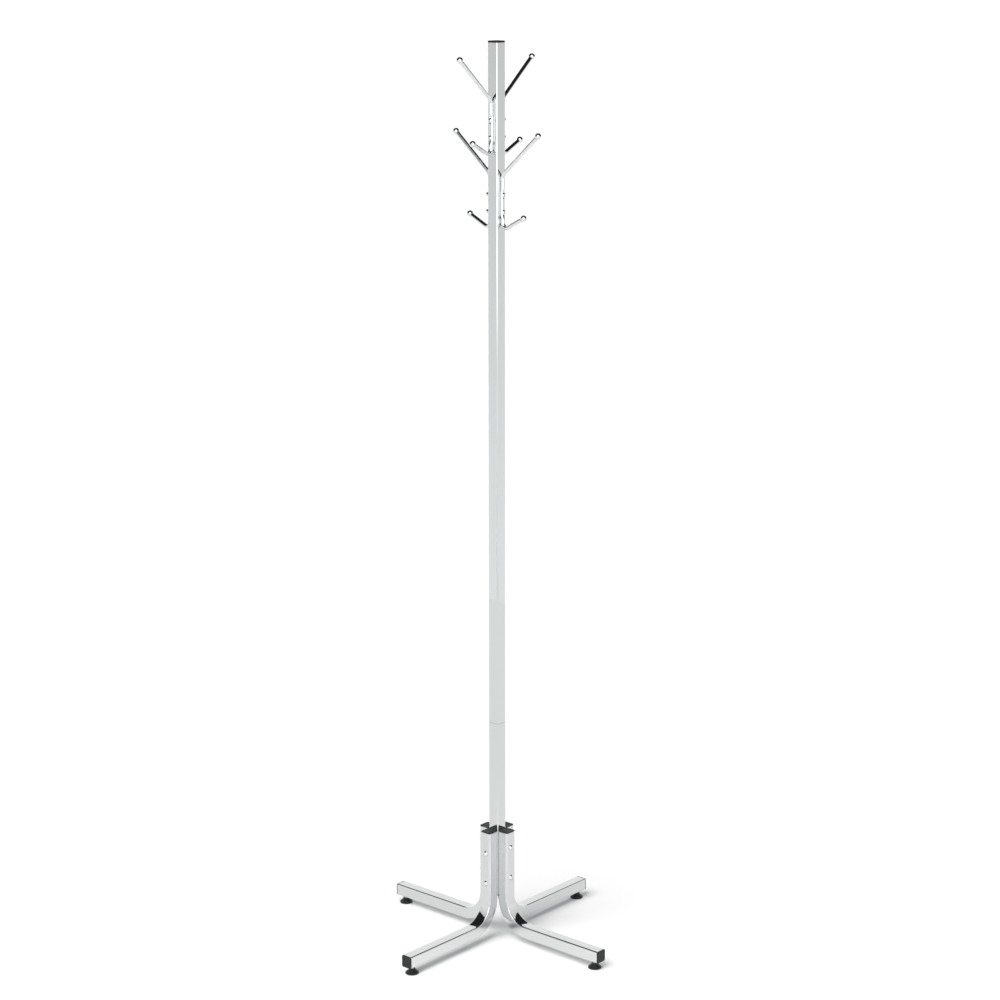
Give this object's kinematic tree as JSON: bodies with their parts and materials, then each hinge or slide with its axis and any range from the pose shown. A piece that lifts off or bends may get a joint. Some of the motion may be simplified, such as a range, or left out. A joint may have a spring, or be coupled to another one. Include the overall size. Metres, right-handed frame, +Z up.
{
  "type": "standing coat rack",
  "caption": "Free-standing coat rack: square chromed post with ball-tipped coat hooks, crossed bent-tube legs and screw-in levelling glides.",
  "frame": {"origin": "on the post's axis at the floor", "axes": "+Z up the post, +X along the front-right leg, -Y along the front-left leg"},
  "size_m": [0.5528, 0.5528, 1.829],
  "materials": {
    "chrome_tube": "bright chrome plate on drawn steel tube",
    "chrome_rod": "bright chrome plate on steel rod",
    "chrome_fastener": "bright plated steel fasteners",
    "inner_steel": "plain steel, hidden inside the post",
    "zinc_steel": "zinc-plated steel",
    "plug_plastic": "fine-textured moulded plastic",
    "glide_plastic": "moulded plastic, slightly worn underneath"
  },
  "bodies": {
    "rack": {"lower_post": "chrome_tube", "upper_post": "chrome_tube", "post_joint_sleeve": "inner_steel", "post_top_cap": "plug_plastic", "post_bottom_plug": "plug_plastic", "leg_front_right": "chrome_tube", "leg_top_cap_front_right": "plug_plastic", "leg_end_cap_front_right": "plug_plastic", "glide_insert_front_right": "zinc_steel", "leg_back_right": "chrome_tube", "leg_top_cap_back_right": "plug_plastic", "leg_end_cap_back_right": "plug_plastic", "glide_insert_back_right": "zinc_steel", "leg_back_left": "chrome_tube", "leg_top_cap_back_left": "plug_plastic", "leg_end_cap_back_left": "plug_plastic", "glide_insert_back_left": "zinc_steel", "leg_front_left": "chrome_tube", "leg_top_cap_front_left": "plug_plastic", "leg_end_cap_front_left": "plug_plastic", "glide_insert_front_left": "zinc_steel", "hook_bolts_upper": "chrome_fastener", "hook_cap_nuts_upper": "chrome_fastener", "hook_bolts_lower": "chrome_fastener", "hook_cap_nuts_lower": "chrome_fastener", "leg_bolts_front_left_back_right": "chrome_fastener", "leg_cap_nuts_front_left_back_right": "chrome_fastener", "leg_bolts_front_right_back_left": "chrome_fastener", "leg_cap_nuts_front_right_back_left": "chrome_fastener", "coat_hook_upper_front_left": "chrome_rod", "hook_long_tip_upper_front_left": "chrome_rod", "hook_short_tip_upper_front_left": "chrome_rod", "coat_hook_upper_back_right": "chrome_rod", "hook_long_tip_upper_back_right": "chrome_rod", "hook_short_tip_upper_back_right": "chrome_rod", "coat_hook_lower_front_right": "chrome_rod", "hook_long_tip_lower_front_right": "chrome_rod", "hook_short_tip_lower_front_right": "chrome_rod", "coat_hook_lower_back_left": "chrome_rod", "hook_long_tip_lower_back_left": "chrome_rod", "hook_short_tip_lower_back_left": "chrome_rod"},
    "glide_front_right": {"glide_base_front_right": "glide_plastic"},
    "stem_front_right": {"glide_stem_front_right": "zinc_steel"},
    "glide_back_right": {"glide_base_back_right": "glide_plastic"},
    "stem_back_right": {"glide_stem_back_right": "zinc_steel"},
    "glide_back_left": {"glide_base_back_left": "glide_plastic"},
    "stem_back_left": {"glide_stem_back_left": "zinc_steel"},
    "glide_front_left": {"glide_base_front_left": "glide_plastic"},
    "stem_front_left": {"glide_stem_front_left": "zinc_steel"}
  },
  "joints": [
    {"name": "glide_travel_front_right", "type": "slide", "parent": "rack", "child": "glide_front_right", "axis": [0, 0, 1], "range_m": [-0.0101, 0.0041]},
    {"name": "glide_screw_front_right", "type": "hinge", "parent": "glide_front_right", "child": "stem_front_right", "pos_m": [0.26, 0, 0], "axis": [0, 0, 1], "range_deg": [-2880, 1152]},
    {"name": "glide_travel_back_right", "type": "slide", "parent": "rack", "child": "glide_back_right", "axis": [0, 0, 1], "range_m": [-0.0101, 0.0041]},
    {"name": "glide_screw_back_right", "type": "hinge", "parent": "glide_back_right", "child": "stem_back_right", "pos_m": [0, 0.26, 0], "axis": [0, 0, 1], "range_deg": [-2880, 1152]},
    {"name": "glide_travel_back_left", "type": "slide", "parent": "rack", "child": "glide_back_left", "axis": [0, 0, 1], "range_m": [-0.0101, 0.0041]},
    {"name": "glide_screw_back_left", "type": "hinge", "parent": "glide_back_left", "child": "stem_back_left", "pos_m": [-0.26, 0, 0], "axis": [0, 0, 1], "range_deg": [-2880, 1152]},
    {"name": "glide_travel_front_left", "type": "slide", "parent": "rack", "child": "glide_front_left", "axis": [0, 0, 1], "range_m": [-0.0101, 0.0041]},
    {"name": "glide_screw_front_left", "type": "hinge", "parent": "glide_front_left", "child": "stem_front_left", "pos_m": [0, -0.26, 0], "axis": [0, 0, 1], "range_deg": [-2880, 1152]}
  ],
  "couplings": [
    {"joint": "glide_travel_front_right", "follows": "glide_screw_front_right", "m_per_rad": 0.00019894},
    {"joint": "glide_travel_back_right", "follows": "glide_screw_back_right", "m_per_rad": 0.00019894},
    {"joint": "glide_travel_back_left", "follows": "glide_screw_back_left", "m_per_rad": 0.00019894},
    {"joint": "glide_travel_front_left", "follows": "glide_screw_front_left", "m_per_rad": 0.00019894}
  ]
}
